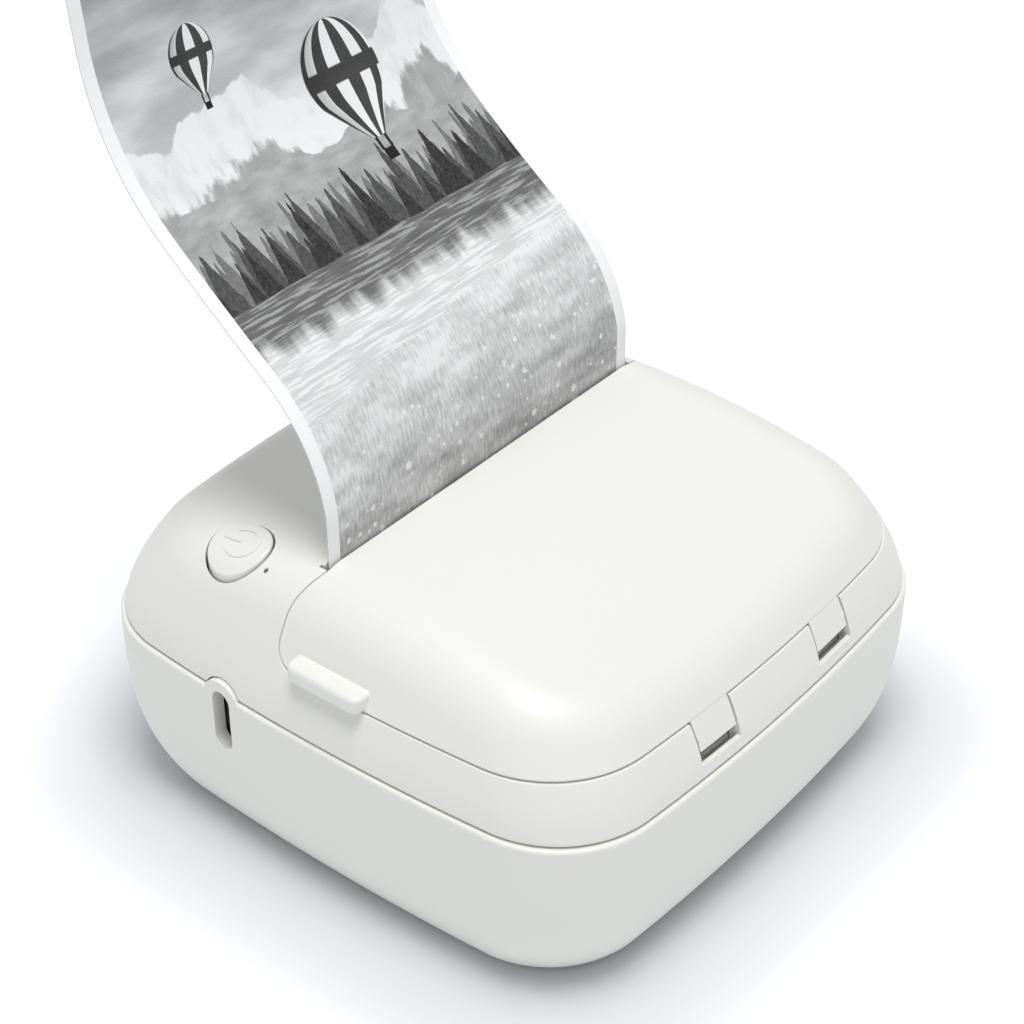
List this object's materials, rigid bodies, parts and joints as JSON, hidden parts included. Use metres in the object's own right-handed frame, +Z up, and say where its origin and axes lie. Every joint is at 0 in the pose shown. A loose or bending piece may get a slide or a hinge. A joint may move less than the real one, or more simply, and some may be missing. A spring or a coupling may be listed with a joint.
{
  "type": "portable thermal printer",
  "caption": "Palm-sized white thermal printer with a hinged paper cover, a push button, a USB-C port and a printed strip that rises from its slot.",
  "frame": {"origin": "centre of the footprint, on the plane that the rubber feet rest on", "axes": "+Z up; -Y is the side with the button, +Y the side with the cover's hinge; +X is the side with the USB-C port"},
  "size_m": [0.0798, 0.0826, 0.1037],
  "materials": {
    "white_shell": "satin moulded ABS",
    "button_plastic": "satin moulded ABS",
    "paper": "matt coated thermal paper",
    "card": "matt cardboard",
    "grey_plastic": "matt",
    "black_plastic": "matt",
    "gear_plastic": "matt acetal",
    "steel": "bright",
    "dark_steel": "zinc-black",
    "aluminium": "satin",
    "platen_rubber": "ground",
    "foot_rubber": "matt",
    "ceramic": "glazed",
    "board": "solder mask",
    "connector": "matt nylon",
    "wire": "matt",
    "ribbon": "polyimide film",
    "cell_wrap": "shrink wrap over a can",
    "light": "clear",
    "led": "clear"
  },
  "bodies": {
    "housing": {"lower_shell": "white_shell", "upper_shell": "white_shell", "tear_bar": "white_shell", "hinge_pins": "steel", "case_screws": "dark_steel", "rubber_feet": "foot_rubber", "print_frame": "steel", "frame_screws": "dark_steel", "stepper_motor": "steel", "motor_screws": "dark_steel", "gear_posts": "steel", "head_springs": "steel", "paper_bucket": "grey_plastic", "paper_sensor": "black_plastic", "main_board": "board", "board_chips": "black_plastic", "board_sockets": "connector", "head_ribbon": "ribbon", "usb_socket": "steel", "usb_tongue": "black_plastic", "tact_switch": "black_plastic", "status_led": "led", "light_pipe": "light", "battery_cell": "cell_wrap", "battery_wires": "wire", "paper_strip": "paper"},
    "cover": {"cover_shell": "white_shell", "platen_bracket": "steel", "bracket_screws": "dark_steel", "platen_bushes": "black_plastic"},
    "platen": {"platen_shaft": "steel", "platen_rubber": "platen_rubber", "platen_gear": "gear_plastic"},
    "roll": {"paper_roll": "paper", "roll_core": "card"},
    "idler": {"idler_gear": "gear_plastic"},
    "reduction": {"reduction_gear": "gear_plastic"},
    "rotor": {"motor_pinion": "gear_plastic", "motor_shaft": "steel"},
    "print_head": {"heat_sink": "aluminium", "thermal_head": "ceramic"},
    "button": {"power_button": "button_plastic", "switch_plunger": "black_plastic"}
  },
  "joints": [
    {"name": "cover_hinge", "type": "hinge", "parent": "housing", "child": "cover", "pos_m": [0, 0.0377, 0.0293], "axis": [-1, 0, 0], "range_deg": [0, 100]},
    {"name": "roll_spin", "type": "hinge", "parent": "housing", "child": "roll", "pos_m": [0, 0.017, 0.0189], "axis": [1, 0, 0], "continuous": true},
    {"name": "platen_spin", "type": "hinge", "parent": "cover", "child": "platen", "pos_m": [0, -0.00085, 0.031], "axis": [1, 0, 0], "continuous": true},
    {"name": "idler_spin", "type": "hinge", "parent": "housing", "child": "idler", "pos_m": [0, -0.00297, 0.02407], "axis": [1, 0, 0], "continuous": true},
    {"name": "reduction_spin", "type": "hinge", "parent": "housing", "child": "reduction", "pos_m": [0, -0.00453, 0.01864], "axis": [1, 0, 0], "continuous": true},
    {"name": "motor_spin", "type": "hinge", "parent": "housing", "child": "rotor", "pos_m": [0, -0.01153, 0.01391], "axis": [1, 0, 0], "continuous": true},
    {"name": "head_tilt", "type": "hinge", "parent": "housing", "child": "print_head", "pos_m": [0, -0.00662, 0.0242], "axis": [1, 0, 0], "range_deg": [0, 2.5], "stiffness_Nm_per_rad": 0.3, "springref_deg": -2.86},
    {"name": "button_press", "type": "slide", "parent": "housing", "child": "button", "axis": [0, 0, -1], "range_m": [0, 0.0005], "stiffness_N_per_m": 250, "springref_m": -0.0004}
  ],
  "couplings": [
    {"joint": "platen_spin", "follows": "roll_spin", "ratio": 3.75},
    {"joint": "idler_spin", "follows": "roll_spin", "ratio": -4.6875},
    {"joint": "reduction_spin", "follows": "roll_spin", "ratio": 6.25},
    {"joint": "motor_spin", "follows": "roll_spin", "ratio": -15.625}
  ]
}
